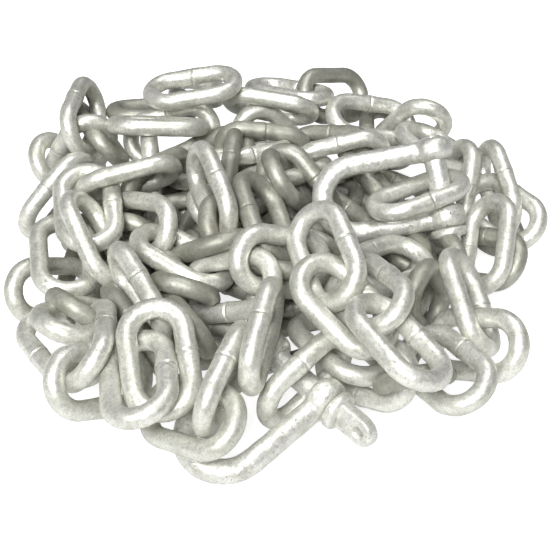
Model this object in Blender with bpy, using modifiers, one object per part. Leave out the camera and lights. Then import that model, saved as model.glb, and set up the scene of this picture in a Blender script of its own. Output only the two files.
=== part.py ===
"""Heap of steel chain: loose galvanised chain with a D-shackle on each end of the run.

The links lie as a low, open mound on a level floor. Each row of LINKS says where a link's two
crowns appear from one viewpoint and how deep it sits. The script turns the rows into places in
space, lets the links push each other apart until none overlap, and then builds every link.
"""
import math
from typing import NamedTuple

import bmesh
import bpy
import numpy as np
from mathutils import Matrix, Vector

# Driving dimensions, in metres.
WIRE = 0.010                # diameter of the link wire
LINK_LENGTH = 0.0615        # outside length of a link
LINK_WIDTH = 0.037          # outside width of a link
SHACKLE_BODY = 0.012        # diameter of the shackle bow
SHACKLE_SPACING = 0.038     # from arm centre to arm centre
SHACKLE_REACH = 0.0660      # from the middle of the bow's wire to the pin's axis
EYE_DIAMETER = 0.022
EYE_WIDTH = 0.0125
EYE_ROUNDING = 0.0025
PIN_DIAMETER = 0.012
PIN_CLEARANCE = 0.0003
COLLAR_DIAMETER = 0.020
COLLAR_THICKNESS = 0.005
LUG_LENGTH = 0.015
LUG_WIDTH = 0.016
LUG_THICKNESS = 0.006
LUG_HOLE = 0.007
LUG_TURN = math.radians(75)   # how far the flat lug is turned about the pin
GAP = 0.00035          # clear space left between wires that touch
TOUCH = 0.00055        # wires nearer than this count as touching
SLIDE_LIMIT = 0.012   # how far a loose group may slide before it is seated sideways
CORE_RADII = (0.085, 0.075, 0.030)
MOUND_RADII = (0.150, 0.135, 0.066)

# The viewpoint that the rows of LINKS are read from. Pixels are those of a 560 by 560 picture.
VIEW_DISTANCE = 0.58
VIEW_ELEVATION = math.radians(38.0)
VIEW_HEIGHT = 0.025         # the aim point's height over the floor
FOCAL_PIXELS = 1050.0
AIM_COLUMN = 272.0
AIM_ROW = 275.0

CROWN_SEGMENTS = 6

# The buried run. Its links bite a little into each other, so that they fuse to one body.
BURIED_PITCH = 0.0407
BURIED_BALLS = 48
BURIED_ROUNDS = 90
BURIED_CLEARANCE = 0.0005
BURIED_BITE = 0.0008
BURIED_SINK = 0.00006
BURIED_CROWN = 4
BOW_SPACE_BALL = 0.0065
ROOM = 0.0004             # cut clear round each seen link that the buried run crowds
BURIED_BEVEL = 1
WIRE_BEVEL = 2


class Row(NamedTuple):
    """Where a link's crowns appear, which end is nearer, its roll and its depth.

    roll is in degrees: 0 faces the viewer, 90 is edge-on, and a positive roll brings the side on
    the right hand, walking from a to b, nearer. sunk is in wire diameters below the mound.
    """
    name: str
    a_column: float
    a_row: float
    b_column: float
    b_row: float
    near: str
    roll: float
    sunk: float


LINKS = (
    Row("link_01", 97, 97, 82, 145, "b", 45, 0.3),
    Row("link_02", 37, 155, 100, 180, "a", 30, 1.3),
    Row("link_03", 88, 120, 64, 182, "a", 25, 1.0),
    Row("link_04", 84, 161, 31, 229, "a", 58, 0.6),
    Row("link_05", 116, 125, 199, 127, "a", 85, -0.2),
    Row("link_06", 131, 146, 214, 122, "a", 0, 0.8),
    Row("link_07", 150, 138, 157, 222, "b", 88, 0.8),
    Row("link_08", 86, 191, 172, 170, "a", -72, -0.2),
    Row("link_09", 88, 174, 92, 243, "b", 0, 0.4),
    Row("link_10", 73, 204, 119, 279, "b", 62, 0.0),
    Row("link_11", 61, 222, 66, 289, "b", 0, 0.8),
    Row("link_12", 112, 222, 173, 226, "b", 0, 0.6),
    Row("link_13", 141, 243, 227, 281, "b", 60, 0.0),
    Row("link_14", 203, 160, 283, 154, "a", 85, 0.2),
    Row("link_15", 246, 117, 300, 172, "a", 0, 0.7),
    Row("link_16", 250, 184, 320, 162, "a", 72, 0.4),
    Row("link_17", 299, 162, 384, 150, "a", -50, 0.4),
    Row("link_18", 230, 98, 311, 112, "b", -70, 0.2),
    Row("link_19", 256, 86, 325, 100, "b", 75, 1.0),
    Row("link_20", 152, 92, 236, 88, "a", 62, 0.0),
    Row("link_22", 331, 115, 408, 124, "a", 43, 0.2),
    Row("link_23", 198, 82, 196, 102, "b", 0, 0.9),
    Row("link_27", 432, 116, 392, 148, "a", 20, 0.6),
    Row("link_28", 412, 128, 460, 168, "b", 60, 0.8),
    Row("link_30", 365, 215, 441, 182, "a", 60, -0.1),
    Row("link_33", 467, 150, 447, 229, "b", -60, 0.4),
    Row("link_34", 488, 152, 505, 228, "b", -50, 0.5),
    Row("link_35", 492, 202, 481, 286, "b", -40, 0.3),
    Row("link_38", 457, 258, 476, 351, "b", 65, 0.0),
    Row("link_39", 474, 194, 530, 225, "b", 0, 0.8),
    Row("link_41", 432, 342, 518, 347, "b", 0, 0.0),
    Row("link_42", 407, 340, 474, 394, "b", 20, 0.0),
    Row("link_44", 361, 317, 432, 370, "b", 55, -0.1),
    Row("link_45", 340, 268, 395, 327, "b", 10, 0.6),
    Row("link_46", 311, 270, 383, 348, "b", 30, 0.0),
    Row("link_47", 309, 217, 345, 298, "b", -25, 0.0),
    Row("link_48", 240, 262, 326, 268, "a", 0, 0.0),
    Row("link_49", 310, 320, 372, 371, "b", 55, 0.2),
    Row("link_50", 187, 292, 267, 273, "b", 10, 0.6),
    Row("link_54", 272, 302, 235, 383, "b", 75, 0.0),
    Row("link_56", 243, 343, 193, 413, "b", 80, 0.0),
    Row("link_58", 150, 312, 164, 407, "b", 0, 0.2),
    Row("link_59", 138, 337, 152, 425, "b", 0, 0.6),
    Row("link_60", 112, 260, 162, 330, "b", -70, 0.3),
    Row("link_62", 20, 290, 90, 300, "a", 0, 1.5),
    Row("link_63", 40, 314, 90, 376, "b", 20, 0.3),
    Row("link_64", 54, 331, 108, 312, "a", 50, 0.1),
    Row("link_65", 61, 380, 150, 372, "a", 0, 0.0),
    Row("link_66", 92, 322, 86, 383, "b", -50, 0.1),
    Row("link_67", 154, 412, 238, 421, "b", 8, 0.3),
    Row("link_69", 268, 412, 336, 358, "a", -50, 0.3),
    Row("link_70", 312, 362, 390, 382, "b", 10, 0.6),
    Row("link_71", 352, 275, 418, 256, "a", 40, 0.5),
    Row("link_76", 196, 158, 226, 230, "b", -65, 0.2),
    Row("link_80", 198, 212, 267, 207, "a", 35, 0.6),
)

SHACKLES = (
    Row("shackle_1", 208, 458, 302, 382, "a", 22, 0.8),
    Row("shackle_2", 325, 205, 441, 182, "a", 5, 0.0),
)

# Links that hang in each other.
LINKED = (
    ("link_08", "link_09"), ("link_09", "link_10"), ("link_12", "link_13"),
    ("link_13", "link_50"), ("link_50", "link_48"), ("link_58", "link_59"),
    ("link_64", "link_66"), ("link_65", "link_66"),
    ("link_16", "link_17"), ("link_46", "link_47"), ("link_44", "link_45"),
    ("link_49", "link_70"), ("link_38", "link_41"), ("link_34", "link_39"),
    ("link_28", "link_33"), ("link_22", "link_27"), ("link_56", "link_67"),
    ("link_01", "link_03"), ("link_30", "shackle_2"), ("link_69", "shackle_1"),
    ("link_45", "link_46"), ("link_49", "link_69"),
)

# Pairs where the first lies over the second, as the viewer sees them.
OVER = (
    ("link_05", "link_06"), ("link_08", "link_07"), ("link_12", "link_07"),
    ("link_05", "link_07"), ("link_07", "link_06"), ("link_76", "link_14"),
    ("link_14", "link_15"), ("link_16", "link_15"), ("link_17", "link_15"),
    ("link_18", "link_19"), ("link_47", "link_48"), ("link_46", "link_48"),
    ("link_76", "link_80"), ("link_10", "link_11"), ("link_04", "link_02"),
    ("link_04", "link_03"), ("link_11", "link_04"), ("link_56", "shackle_1"),
    ("link_54", "shackle_1"), ("link_67", "shackle_1"), ("link_58", "link_67"),
    ("link_44", "link_46"), ("link_42", "link_38"), ("link_42", "link_41"),
    ("shackle_2", "link_17"), ("shackle_2", "link_27"), ("shackle_2", "link_71"),
    ("link_63", "link_62"), ("link_11", "link_62"), ("link_59", "link_65"),
    ("link_46", "link_70"), ("link_20", "link_23"), ("link_59", "link_67"),
    ("link_64", "link_63"), ("link_65", "link_63"), ("link_66", "link_63"),
    ("link_09", "link_12"),
    ("link_17", "link_22"), ("link_46", "link_49"),
)

RADIUS = WIRE / 2
BEND = (LINK_WIDTH - WIRE) / 2              # radius of a crown's centreline
REACH = LINK_LENGTH - WIRE                  # from crown to crown, along the centreline
SAMPLES = 40
SECTIONS = 8


def view_axes():
    """The viewer's place, and the right, up and backward directions."""
    back = np.array((0.0, -math.cos(VIEW_ELEVATION), math.sin(VIEW_ELEVATION)))
    right = np.array((1.0, 0.0, 0.0))
    up = np.cross(back, right)
    eye = np.array((0.0, 0.0, VIEW_HEIGHT)) + back * VIEW_DISTANCE
    return eye, right, up, back


def sight_line(column, row):
    eye, right, up, back = view_axes()
    ray = right * (column - AIM_COLUMN) - up * (row - AIM_ROW) - back * FOCAL_PIXELS
    return ray / np.linalg.norm(ray)


def mound_distance(ray):
    """How far along a sight line the mound's upper surface, or else the floor, lies."""
    eye = view_axes()[0]
    radii = np.array(MOUND_RADII)
    start = eye / radii
    step = ray / radii
    a = step @ step
    b = start @ step
    c = start @ start - 1.0
    root = b * b - a * c
    mound = (-b - math.sqrt(root)) / a if root > 0 else -b / a
    floor = (RADIUS - eye[2]) / ray[2]
    if root > 0 or mound < floor:
        return min(mound, floor)
    return floor


def place_between(first, second, middle, reach, near):
    """Points on two sight lines, `reach` apart, about `middle` away, with the named end nearer."""
    cosine = first @ second
    # |first * (m - s) - second * (m + s)| = reach, solved for s
    a = 2 + 2 * cosine
    c = middle * middle * (2 - 2 * cosine) - reach * reach
    half = math.sqrt(max(0.0, -c / a))
    if c > 0:
        middle *= reach / (middle * math.sqrt(2 - 2 * cosine))
    if near == "b":
        half = -half
    return first * (middle - half), second * (middle + half)


def read_pose(row, reach, depth_scale=1.0):
    """A link's centre and its length, width and normal axes as matrix columns."""
    eye = view_axes()[0]
    first = sight_line(row.a_column, row.a_row)
    second = sight_line(row.b_column, row.b_row)
    between = first + second
    between /= np.linalg.norm(between)
    middle = mound_distance(between) + row.sunk * WIRE * depth_scale
    end_a, end_b = place_between(first, second, middle, reach, row.near)
    along = end_b - end_a
    along /= np.linalg.norm(along)
    centre = eye + (end_a + end_b) / 2
    toward = -between - along * (-between @ along)
    toward /= np.linalg.norm(toward)
    side = np.cross(along, toward)
    roll = math.radians(row.roll)
    width = side * math.cos(roll) + toward * math.sin(roll)
    normal = np.cross(along, width)
    return centre, np.column_stack((along, width, normal))


def link_outline(segments=CROWN_SEGMENTS):
    """The link's centreline as corner points, with X along the link and Y across it."""
    half = REACH / 2 - BEND
    points = []
    for end in (1, -1):
        for step in range(segments + 1):
            angle = math.pi * (step / segments - 0.5)
            points.append((end * (half + BEND * math.cos(angle)), end * BEND * math.sin(angle), 0.0))
    return np.array(points)


def bow_outline():
    """The shackle bow's centreline, open at the eyes, with X from the bow to the pin."""
    radius = SHACKLE_SPACING / 2
    start = -SHACKLE_REACH / 2
    points = [(SHACKLE_REACH / 2, radius, 0.0), (start + radius * 1.9, radius, 0.0)]
    for step in range(9):
        angle = math.pi * (0.5 + step / 8)
        points.append((start + radius + radius * math.cos(angle), radius * math.sin(angle), 0.0))
    points.append((start + radius * 1.9, -radius, 0.0))
    points.append((SHACKLE_REACH / 2, -radius, 0.0))
    return np.array(points)


def shackle_fittings():
    """Balls that fill the shackle's eyes, pin collar and lug, in groups of five."""
    groups = []
    pin_x = SHACKLE_REACH / 2
    face = SHACKLE_SPACING / 2 + EYE_WIDTH / 2
    ball = 0.0042
    rings = [(EYE_DIAMETER / 2 - ball + 0.0003, side * SHACKLE_SPACING / 2 + offset, ball)
             for side in (1, -1) for offset in (-0.0025, 0.0025)]
    rings.append(((COLLAR_DIAMETER - COLLAR_THICKNESS) / 2, face + COLLAR_THICKNESS / 2,
                  COLLAR_THICKNESS * 0.62))
    for radius, side, size in rings:
        for part in range(3):
            angles = [math.pi * 2 * (part * 5 + step) / 15 for step in range(5)]
            groups.append((np.array([(pin_x + radius * math.cos(angle), side,
                                      radius * math.sin(angle)) for angle in angles]), size))
    for offset in (-LUG_WIDTH * 0.3, 0.0, LUG_WIDTH * 0.3):
        steps = np.linspace(COLLAR_THICKNESS, COLLAR_THICKNESS / 2 + LUG_LENGTH * 1.3, 5)
        groups.append((np.array([(pin_x + offset, face + step, 0.0) for step in steps]),
                       LUG_THICKNESS * 0.56))
    return groups


def resample(points, count):
    """Evenly spaced points on a closed outline."""
    closed = np.vstack((points, points[:1]))
    steps = np.linalg.norm(np.diff(closed, axis=0), axis=1)
    marks = np.concatenate(([0.0], np.cumsum(steps)))
    wanted = np.linspace(0.0, marks[-1], count, endpoint=False)
    return np.column_stack([np.interp(wanted, marks, closed[:, axis]) for axis in range(3)])


class Heap:
    """Links and shackles as rigid closed wires that push each other apart."""

    def __init__(self, rows, shackles):
        self.names = [row.name for row in rows + shackles]
        self.count = len(self.names)
        link_line = resample(link_outline(), SAMPLES)
        bow_line = resample(bow_outline(), SAMPLES)
        self.local = np.array([link_line] * len(rows) + [bow_line] * len(shackles))
        poses = [read_pose(row, REACH) for row in rows]
        poses += [read_pose(row, SHACKLE_REACH) for row in shackles]
        self.centre = np.array([pose[0] for pose in poses])
        self.turn = np.array([pose[1] for pose in poses])
        self.home_centre = self.centre.copy()
        self.home_turn = self.turn.copy()
        eye = view_axes()[0]
        self.sight = self.centre - eye
        self.sight /= np.linalg.norm(self.sight, axis=1)[:, None]
        self.weight = np.array([1.0] * len(rows) + [6.0] * len(shackles))
        self.spread = 0.019
        self.make_sections(len(rows), link_line, bow_line)

    def make_sections(self, link_count, link_line, bow_line):
        """Groups of five balls that fill each wire, eye and pin head, for finding contacts."""
        owners = []
        spots = []
        sizes = []
        fittings = shackle_fittings()
        for body in range(self.count):
            is_link = body < link_count
            line = link_line if is_link else bow_line
            groups = [(group, RADIUS if is_link else SHACKLE_BODY / 2)
                      for group in line.reshape(SECTIONS, -1, 3)]
            if not is_link:
                groups += [(group, size + 0.0001) for group, size in fittings]
            for group, size in groups:
                owners.append(body)
                spots.append(group)
                sizes.append(size)
        self.owner = np.array(owners)
        self.spots = np.array(spots)
        self.size = np.array(sizes)

    def points(self):
        return self.centre[:, None, :] + self.local @ self.turn.transpose(0, 2, 1)

    def section_points(self):
        turn = self.turn[self.owner].transpose(0, 2, 1)
        return self.centre[self.owner][:, None, :] + self.spots @ turn

    def windings(self):
        """Matrix of how often body j's wire passes through body i's hole, with its sign."""
        world = self.points()
        result = np.zeros((self.count, self.count), dtype=int)
        for index in range(self.count):
            inside = (world - self.centre[index]) @ self.turn[index]
            following = np.roll(inside, -1, axis=1)
            height = inside[..., 2]
            drop = following[..., 2]
            crosses = (height > 0) != (drop > 0)
            share = height / np.where(crosses, height - drop, 1.0)
            spot = inside + (following - inside) * share[..., None]
            within = inside_outline(spot[..., :2], self.local[index][:, :2])
            signs = np.where(drop > height, 1, -1)
            result[index] = (signs * (crosses & within)).sum(axis=1)
            result[index, index] = 0
        return result

    def shift(self, moves, turns):
        """Move and turn every body by small steps."""
        self.centre += moves
        angle = np.linalg.norm(turns, axis=1)
        axis = turns / np.maximum(angle, 1e-12)[:, None]
        skew = np.zeros((self.count, 3, 3))
        skew[:, 0, 1] = -axis[:, 2]
        skew[:, 0, 2] = axis[:, 1]
        skew[:, 1, 0] = axis[:, 2]
        skew[:, 1, 2] = -axis[:, 0]
        skew[:, 2, 0] = -axis[:, 1]
        skew[:, 2, 1] = axis[:, 0]
        sine = np.sin(angle)[:, None, None]
        cosine = np.cos(angle)[:, None, None]
        rotation = np.eye(3) + sine * skew + (1 - cosine) * (skew @ skew)
        self.turn = rotation @ self.turn
        along = self.turn[:, :, 0]
        along /= np.linalg.norm(along, axis=1)[:, None]
        width = self.turn[:, :, 1]
        width -= along * (along * width).sum(axis=1)[:, None]
        width /= np.linalg.norm(width, axis=1)[:, None]
        self.turn = np.stack((along, width, np.cross(along, width)), axis=2)

    def contacts(self, margin, thickness):
        """Closest points of the wire sections that are nearer to each other than allowed."""
        world = self.section_points()
        middle = world.mean(axis=1)
        square = (middle ** 2).sum(1)
        apart = square[:, None] + square[None] - 2 * middle @ middle.T
        near = np.triu(apart < 0.032 ** 2, 1) & (self.owner[:, None] != self.owner[None])
        first, second = np.nonzero(near)
        a = world[first]
        b = world[second]
        gaps = np.linalg.norm(a[:, :, None] - b[:, None], axis=3).reshape(len(first), -1)
        best = gaps.argmin(axis=1)
        rows = np.arange(len(first))
        least = np.maximum(gaps[rows, best], 1e-9)
        allowed = (self.size[first] + self.size[second]) * thickness + margin
        keep = least < allowed
        rows = rows[keep]
        best = best[keep]
        width = a.shape[1]
        return (self.owner[first[keep]], self.owner[second[keep]], a[rows, best // width],
                b[rows, best % width], least[keep], allowed[keep])

    def relax(self, rounds, thickness, hold, drop=0.0):
        """Push overlapping wires apart while a weak pull keeps each body in its place."""
        inverse = 1.0 / self.weight
        for _ in range(rounds):
            moves = np.zeros((self.count, 3))
            turns = np.zeros((self.count, 3))
            touches = np.zeros(self.count)
            i, j, a, b, distance, allowed = self.contacts(GAP, thickness)
            away = (a - b) / distance[:, None]
            arm_i = np.cross(a - self.centre[i], away)
            arm_j = np.cross(b - self.centre[j], away)
            give_i = inverse[i] * (1 + (arm_i ** 2).sum(1) / self.spread ** 2)
            give_j = inverse[j] * (1 + (arm_j ** 2).sum(1) / self.spread ** 2)
            push = (allowed - distance) / (give_i + give_j)
            np.add.at(moves, i, away * (push * inverse[i])[:, None])
            np.add.at(moves, j, -away * (push * inverse[j])[:, None])
            np.add.at(turns, i, arm_i * (push * inverse[i] / self.spread ** 2)[:, None])
            np.add.at(turns, j, -arm_j * (push * inverse[j] / self.spread ** 2)[:, None])
            np.add.at(touches, i, 1)
            np.add.at(touches, j, 1)
            self.push_from_ground(moves, turns, touches, thickness)
            share = 1.4 / np.maximum(touches, 1.4)
            self.shift(moves * share[:, None], turns * share[:, None])
            if hold:
                self.pull_home(hold)
            if drop:
                self.shift(np.tile((0.0, 0.0, -drop), (self.count, 1)), np.zeros((self.count, 3)))

    def push_from_ground(self, moves, turns, touches, thickness):
        """Keep the wires above the floor and outside the core."""
        world = self.section_points()
        reach = self.size[:, None] * thickness
        radii = np.array(CORE_RADII) + reach[..., None] + GAP
        scaled = world / radii
        level = np.linalg.norm(scaled, axis=2)
        slope = scaled / radii / np.maximum(level, 1e-9)[..., None]
        steep = np.linalg.norm(slope, axis=2)
        core_depth = (1 - level) / steep
        floor_depth = reach - world[..., 2]
        outward = slope / steep[..., None]
        upward = np.broadcast_to(np.array((0.0, 0.0, 1.0)), outward.shape)
        for depth, away in ((core_depth, outward), (floor_depth, upward)):
            best = depth.argmax(axis=1)
            rows = np.arange(len(best))
            worst = depth[rows, best]
            rows = rows[worst > 0]
            body = self.owner[rows]
            direction = away[rows, best[rows]]
            arm = np.cross(world[rows, best[rows]] - self.centre[body], direction)
            push = worst[rows] / (1 + (arm ** 2).sum(1) / self.spread ** 2)
            np.add.at(moves, body, direction * push[:, None])
            np.add.at(turns, body, arm * (push / self.spread ** 2)[:, None])
            np.add.at(touches, body, 1)

    def pull_home(self, hold):
        """A pull to the place read from the picture, weaker along the line of sight."""
        away = self.home_centre - self.centre
        deep = self.sight * (away * self.sight).sum(axis=1)[:, None]
        moves = hold * (away - deep) + hold * 0.15 * deep
        turns = hold * 0.5 * sum(np.cross(self.turn[:, :, axis], self.home_turn[:, :, axis])
                                 for axis in range(3))
        self.shift(moves, turns)

    def core_gaps(self, world):
        """Distance from points to the buried core, and the way out of it."""
        scaled = world / np.array(CORE_RADII)
        level = np.linalg.norm(scaled, axis=-1)
        slope = scaled / np.array(CORE_RADII) / level[..., None]
        steep = np.linalg.norm(slope, axis=-1)
        return (level - 1) / steep, slope / steep[..., None]

    def carried(self):
        """Which bodies touch the core, or touch others that do, and a label for every group."""
        i, j = self.contacts(TOUCH, 1.0)[:2]
        label = np.arange(1, self.count + 1)
        depth = self.core_gaps(self.section_points())[0].min(axis=1) - self.size
        label[self.owner[depth < TOUCH]] = 0
        for _ in range(self.count):
            least = np.minimum(label[i], label[j])
            np.minimum.at(label, i, least)
            np.minimum.at(label, j, least)
        return label

    def nearest_outside(self, members):
        """Smallest gap from a group to the other bodies or the core, and its direction."""
        world = self.section_points()
        inside = np.isin(self.owner, members)
        spots = world[inside].reshape(-1, 3)
        others = world[~inside].reshape(-1, 3)
        count = world.shape[1]
        sizes = np.repeat(self.size[inside], count)
        between = others[None] - spots[:, None]
        apart = np.linalg.norm(between, axis=2)
        clear = apart - sizes[:, None] - np.repeat(self.size[~inside], count)[None]
        row, column = np.unravel_index(clear.argmin(), clear.shape)
        gap = clear[row, column]
        direction = between[row, column] / apart[row, column]
        depth, outward = self.core_gaps(spots)
        depth = depth - sizes
        if depth.min() < gap:
            gap = depth.min()
            direction = -outward[depth.argmin()]
        return gap, direction

    def close_gaps(self):
        """Bring each group that touches nothing else up to its nearest neighbour."""
        still = np.zeros((self.count, 3))
        for _ in range(60):
            label = self.carried()
            loose = [value for value in np.unique(label) if value > 0]
            if not loose:
                break
            members = min((np.flatnonzero(label == value) for value in loose), key=len)
            slid = min((self.slide(members, sign) for sign in (1.0, -1.0)), key=abs)
            moves = still.copy()
            if abs(slid) < SLIDE_LIMIT:
                moves[members] = self.common_sight(members) * slid
            else:
                slid, direction = self.nearest_outside(members)
                moves[members] = direction * (slid - GAP / 2)
            self.shift(moves, still)
            print("seated", [self.names[index] for index in members], round(slid * 1000, 2), "mm")

    def common_sight(self, members):
        way = self.sight[members].mean(axis=0)
        return way / np.linalg.norm(way)

    def slide(self, members, sign):
        """How far a group slides along the line of sight before it meets something."""
        start = self.centre.copy()
        way = self.common_sight(members) * sign
        ours = np.isin(self.owner, members)
        slid = 0.0
        while slid < SLIDE_LIMIT:
            gap = self.nearest_outside(members)[0]
            if gap < TOUCH / 2:
                break
            step = gap * 0.7
            self.centre[members] += way * step
            slid += step
            lowest = self.section_points()[ours][..., 2].min(axis=1) - self.size[ours]
            if lowest.min() < 0:
                slid = SLIDE_LIMIT
        self.centre = start
        return slid * sign

    def sort_depths(self, wanted, over):
        """Move bodies along the line of sight until they hang and lie as the picture shows."""
        still = np.zeros((self.count, 3))
        for _ in range(60):
            wound = self.windings() != 0
            wound = wound | wound.T
            moves = np.zeros((self.count, 3))
            for first, second in over:
                self.part_pair(moves, first, second)
            for i, j in zip(*np.nonzero(np.triu(wound & ~wanted, 1))):
                depth = ((self.centre[j] - self.centre[i]) * self.sight[i]).sum()
                sign = 1.0 if depth > 0 else -1.0
                moves[i] -= self.sight[i] * sign * 0.0008
                moves[j] += self.sight[j] * sign * 0.0008
            self.shift(moves, still)
            changed = bool(moves.any())
            for i, j in zip(*np.nonzero(np.triu(wanted, 1))):
                changed |= self.thread_pair(i, j)
            if not changed:
                break
        self.home_centre = self.centre.copy()

    def part_pair(self, moves, upper, lower):
        """Lift one body over another wherever their wires cross in the picture."""
        sight = self.sight[upper]
        world = self.points()
        between = world[upper][:, None] - world[lower][None]
        depth = between @ sight
        across = np.linalg.norm(between - depth[..., None] * sight, axis=2)
        crossing = across < WIRE * 0.8
        if crossing.any():
            need = depth[crossing].max() + WIRE * 0.3
            if need > 0:
                step = min(need, 0.002) / 2
                moves[upper] -= sight * step
                moves[lower] += sight * step

    def thread_pair(self, i, j):
        """Slide two bodies along the line of sight until one hangs in the other."""
        if self.pair_winding(i, j, 0.0):
            return False
        offsets = np.arange(1, 61) * 0.001
        for offset in np.stack((offsets, -offsets), axis=1).ravel():
            if self.pair_winding(i, j, offset):
                last = offset
                while abs(last - offset) < 0.012 and self.pair_winding(i, j, last + np.sign(last) * 0.001):
                    last += np.sign(last) * 0.001
                shift = (offset + last) / 2
                self.centre[i] -= self.sight[i] * shift / 2
                self.centre[j] += self.sight[j] * shift / 2
                return True
        return False

    def pair_winding(self, i, j, offset):
        """Whether body j's wire would pass through body i's hole, moved back by an offset."""
        line = self.centre[j] + self.sight[j] * offset + self.local[j] @ self.turn[j].T
        inside = (line - self.centre[i]) @ self.turn[i]
        following = np.roll(inside, -1, axis=0)
        crosses = (inside[:, 2] > 0) != (following[:, 2] > 0)
        share = inside[:, 2] / np.where(crosses, inside[:, 2] - following[:, 2], 1.0)
        spot = inside + (following - inside) * share[:, None]
        within = inside_outline(spot[:, :2], self.local[i][:, :2])
        signs = np.where(following[:, 2] > inside[:, 2], 1, -1)
        return int((signs * (crosses & within)).sum()) != 0


def inside_outline(spots, outline):
    """Even-odd test of plane points against a closed outline."""
    inside = np.zeros(spots.shape[:-1], dtype=bool)
    for start, end in zip(outline, np.roll(outline, -1, axis=0)):
        if start[1] == end[1]:
            continue
        spans = (spots[..., 1] >= min(start[1], end[1])) & (spots[..., 1] < max(start[1], end[1]))
        cut = start[0] + (spots[..., 1] - start[1]) * (end[0] - start[0]) / (end[1] - start[1])
        inside ^= spans & (spots[..., 0] < cut)
    return inside


class Glimpse(NamedTuple):
    """A link seen only through gaps, read in the same way as a Row, without a name."""
    a_column: float
    a_row: float
    b_column: float
    b_row: float
    near: str
    roll: float
    sunk: float


class Arc(NamedTuple):
    """A run of buried links along part of an ellipse round the heap's middle."""
    radius_x: float
    radius_y: float
    height: float
    start: float       # degrees, from +X towards +Y
    finish: float
    roll: float        # of every other link; the rest are turned a quarter against it


GLIMPSES = (
    Glimpse(108, 112, 183, 96, "a", 75, 0.8),
    Glimpse(231, 207, 285, 262, "b", 60, 0.9),
    Glimpse(186, 221, 262, 228, "a", 20, 1.6),
    Glimpse(310, 100, 350, 88, "a", 10, 2.2),
    Glimpse(392, 100, 392, 160, "b", 30, 1.8),
    Glimpse(346, 208, 372, 190, "a", 40, 2.0),
    Glimpse(425, 402, 415, 345, "a", 20, 0.6),
    Glimpse(236, 322, 212, 372, "b", 45, 1.2),
    Glimpse(92, 275, 128, 345, "b", 85, 1.2),
    Glimpse(265, 245, 298, 275, "b", 60, 2.0),
    Glimpse(405, 275, 447, 300, "a", 20, 1.6),
    Glimpse(434, 240, 445, 290, "b", 40, 1.6),
    Glimpse(182, 232, 222, 255, "b", 20, 2.4),
    Glimpse(118, 235, 140, 222, "b", 10, 2.4),
    Glimpse(99, 118, 107, 163, "b", 65, 0.6),
    Glimpse(160, 278, 178, 305, "b", 40, 2.2),
    Glimpse(185, 300, 203, 345, "b", 70, 2.0),
    Glimpse(75, 293, 98, 322, "b", 60, 1.8),
    Glimpse(370, 175, 395, 200, "a", 30, 2.2),
    Glimpse(478, 180, 503, 240, "b", 40, 1.6),
    Glimpse(300, 185, 322, 195, "a", 50, 2.4),
    Glimpse(240, 163, 218, 185, "b", 50, 2.4),
)

ARCS = (
    Arc(0.112, 0.124, 0.018, 12, 168, 40),
    Arc(0.080, 0.085, 0.018, -60, 240, 45),
    Arc(0.088, 0.096, 0.046, 15, 165, 35),
    Arc(0.052, 0.058, 0.044, -10, 200, 50),
)


def rolled_axes(along, toward, roll):
    """Axes from a link's direction and the way its flat side would face before it rolls."""
    along = along / np.linalg.norm(along)
    toward = toward - along * (toward @ along)
    toward /= np.linalg.norm(toward)
    side = np.cross(along, toward)
    width = side * math.cos(roll) + toward * math.sin(roll)
    return np.column_stack((along, width, np.cross(along, width)))


def arc_poses(arc):
    poses = []
    angle = math.radians(arc.start)
    turn = 0
    while angle < math.radians(arc.finish):
        spot = np.array((arc.radius_x * math.cos(angle), arc.radius_y * math.sin(angle),
                         arc.height))
        tangent = np.array((-arc.radius_x * math.sin(angle), arc.radius_y * math.cos(angle), 0.0))
        roll = math.radians(arc.roll + 90 * (turn % 2))
        poses.append((spot, rolled_axes(tangent, np.array((0.0, 0.0, 1.0)), roll)))
        angle += BURIED_PITCH / np.linalg.norm(tangent)
        turn += 1
    return poses


def push_buried(own, centre, others, sizes, growth):
    """How far one buried link moves and turns to come clear of the balls about it."""
    near = ((others - centre) ** 2).sum(axis=1) < 0.045 ** 2
    spots = others[near]
    allowed = sizes[near] + RADIUS * growth
    between = own[:, None] - spots[None]
    apart = np.linalg.norm(between, axis=2)
    depth = allowed[None] - apart
    worst = depth.argmax(axis=1)
    rows = np.arange(len(own))
    hit = depth[rows, worst] > 0
    if not hit.any():
        return np.zeros(3), np.zeros(3)
    push = depth[rows, worst][hit][:, None]
    away = between[rows, worst][hit] / apart[rows, worst][hit][:, None]
    share = 0.3 / max(1.2, hit.sum() ** 0.5)
    spin = np.cross(own[hit] - centre, away) * push
    return (away * push).sum(axis=0) * share, spin.sum(axis=0) * share / 0.019 ** 2


def settle_buried(poses, fixed, fixed_sizes, low, high):
    """Move the buried links clear of the seen ones, and let them sink onto each other."""
    line = resample(smooth_link_outline(), BURIED_BALLS)
    centres = np.array([pose[0] for pose in poses])
    axes = np.array([pose[1] for pose in poses])
    homes = centres.copy()
    worlds = centres[:, None] + line @ axes.transpose(0, 2, 1)
    for turn in range(BURIED_ROUNDS):
        growth = min(1.0, 0.3 + 1.4 * turn / BURIED_ROUNDS)
        clear = np.full(len(fixed), BURIED_CLEARANCE)
        for index in range(len(poses)):
            own = worlds[index]
            loose = np.vstack((worlds[:index].reshape(-1, 3), worlds[index + 1:].reshape(-1, 3)))
            others = np.vstack((fixed, loose))
            sizes = np.concatenate((fixed_sizes * growth + clear,
                                    np.full(len(loose), RADIUS * growth - BURIED_BITE)))
            move, spin = push_buried(own, centres[index], others, sizes, growth)
            move += 0.004 * (homes[index] - centres[index]) - np.array((0, 0, BURIED_SINK))
            move += np.maximum(low - own, 0).max(axis=0) - np.maximum(own - high, 0).max(axis=0)
            centres[index] += move
            axes[index] = turned(axes[index], spin)
            worlds[index] = centres[index] + line @ axes[index].T
    return centres, axes, worlds


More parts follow.
